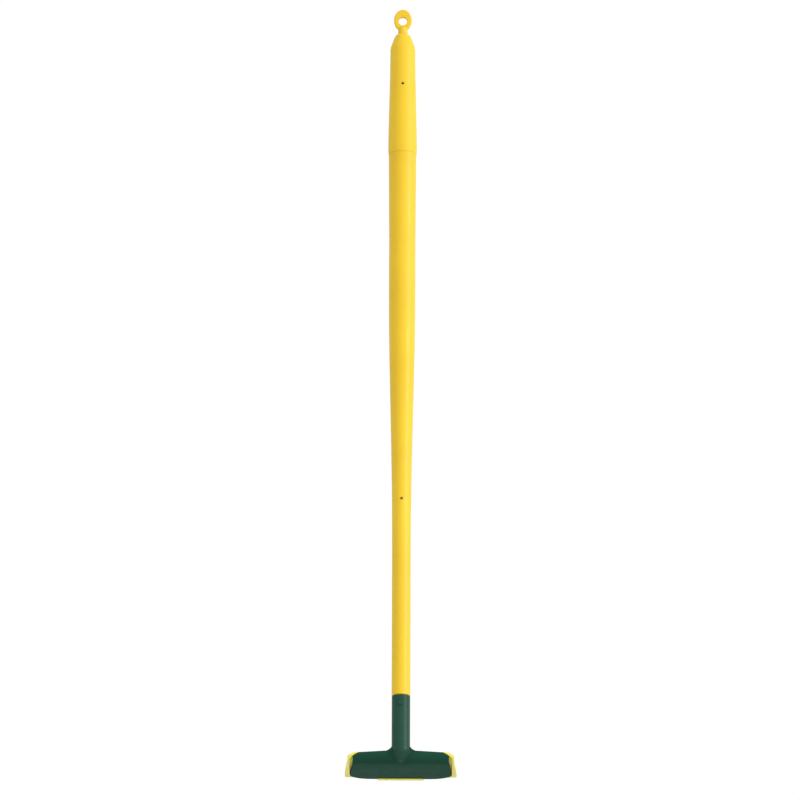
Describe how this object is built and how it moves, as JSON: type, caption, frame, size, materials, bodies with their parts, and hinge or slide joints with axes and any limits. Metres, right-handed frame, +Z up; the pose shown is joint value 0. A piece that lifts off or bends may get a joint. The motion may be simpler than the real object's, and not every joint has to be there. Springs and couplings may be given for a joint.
{
  "type": "grub hoe",
  "caption": "Long-handled hoe with a swelling plastic-covered handle, a swivelling hanging eye, a broad bent steel blade on a riveted socket and a pull-off blade guard.",
  "frame": {"origin": "centre of the round hole in the hanging eye", "axes": "+Z up along the handle, away from the head; +Y is the way the blade points and the axis of the hanging hole; +X to the right seen from the front"},
  "size_m": [0.1642, 0.1462, 1.1697],
  "materials": {
    "handle_plastic": "satin moulded polypropylene, warm yellow",
    "eye_plastic": "satin moulded nylon, yellow",
    "guard_plastic": "satin moulded plastic, pale greenish yellow",
    "head_paint": "satin dark green paint on steel",
    "rivet_paint": "satin dark blue-green paint on steel",
    "bright_steel": "zinc-plated steel",
    "plug_plastic": "moulded nylon, black",
    "filler_foam": "foamed polypropylene, natural",
    "core_fibreglass": "pultruded fibreglass rod, natural"
  },
  "bodies": {
    "eye": {"hanging_eye": "eye_plastic", "eye_washer": "bright_steel", "eye_clip": "bright_steel"},
    "handle": {"end_plug": "plug_plastic", "grip_sleeve": "handle_plastic", "grip_filler": "filler_foam", "shaft_filler": "filler_foam", "shaft_skin": "handle_plastic", "fibreglass_core": "core_fibreglass", "core_foot": "plug_plastic", "socket": "head_paint", "socket_rivet": "rivet_paint", "rivet_washer": "rivet_paint", "blade": "head_paint", "weld_beads": "head_paint"},
    "guard": {"blade_guard": "guard_plastic"}
  },
  "joints": [
    {"name": "eye_swivel", "type": "hinge", "parent": "eye", "child": "handle", "pos_m": [0, 0, -0.0213], "axis": [0, 0, 1], "continuous": true},
    {"name": "guard_slide", "type": "slide", "parent": "handle", "child": "guard", "axis": [0, 0.9976, 0.0698], "range_m": [0, 0.15]}
  ]
}
